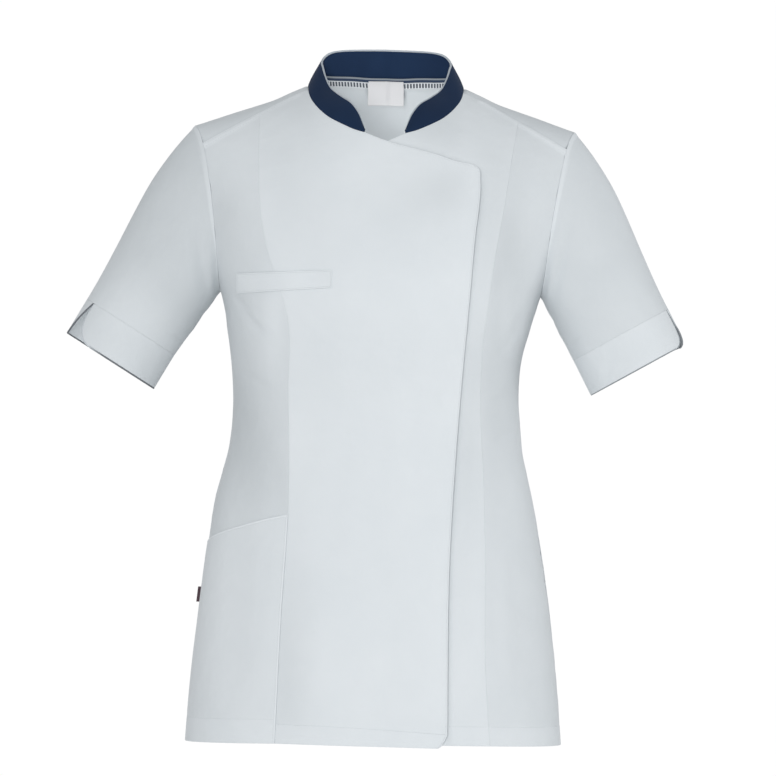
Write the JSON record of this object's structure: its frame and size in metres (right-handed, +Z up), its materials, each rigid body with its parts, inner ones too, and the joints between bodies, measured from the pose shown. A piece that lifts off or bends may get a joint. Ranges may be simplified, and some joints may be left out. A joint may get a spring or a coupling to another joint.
{
  "type": "short-sleeved work blouse",
  "caption": "Fitted white short-sleeved work blouse with a navy stand collar and an asymmetric hidden front closure, filled out as if worn.",
  "frame": {"origin": "middle of the neck opening, level with the points where the shoulders meet the collar", "axes": "+Z up towards the collar, +X towards the wearer's left, -Y the way the wearer faces"},
  "size_m": [0.6505, 0.2676, 0.7322],
  "materials": {
    "white": "matt woven cloth",
    "side": "matt woven cloth",
    "navy": "matt woven cloth",
    "pale_piping": "matt bias cord",
    "dark_piping": "matt bias cord",
    "label": "smooth woven label",
    "tag": "matt woven tape"
  },
  "bodies": {
    "root": {"front_right": "white", "front_right_side": "side", "front_left": "white", "front_left_side": "side", "back": "white", "yoke": "side", "sleeve_right": "side", "sleeve_left": "side", "cuff_right": "white", "cuff_left": "white", "cuff_piping_right": "dark_piping", "cuff_piping_left": "dark_piping", "collar": "navy", "collar_piping": "pale_piping", "neck_tape": "white", "neck_label": "label", "breast_welt": "white", "lower_pocket": "side", "side_tag": "tag"}
  },
  "joints": []
}
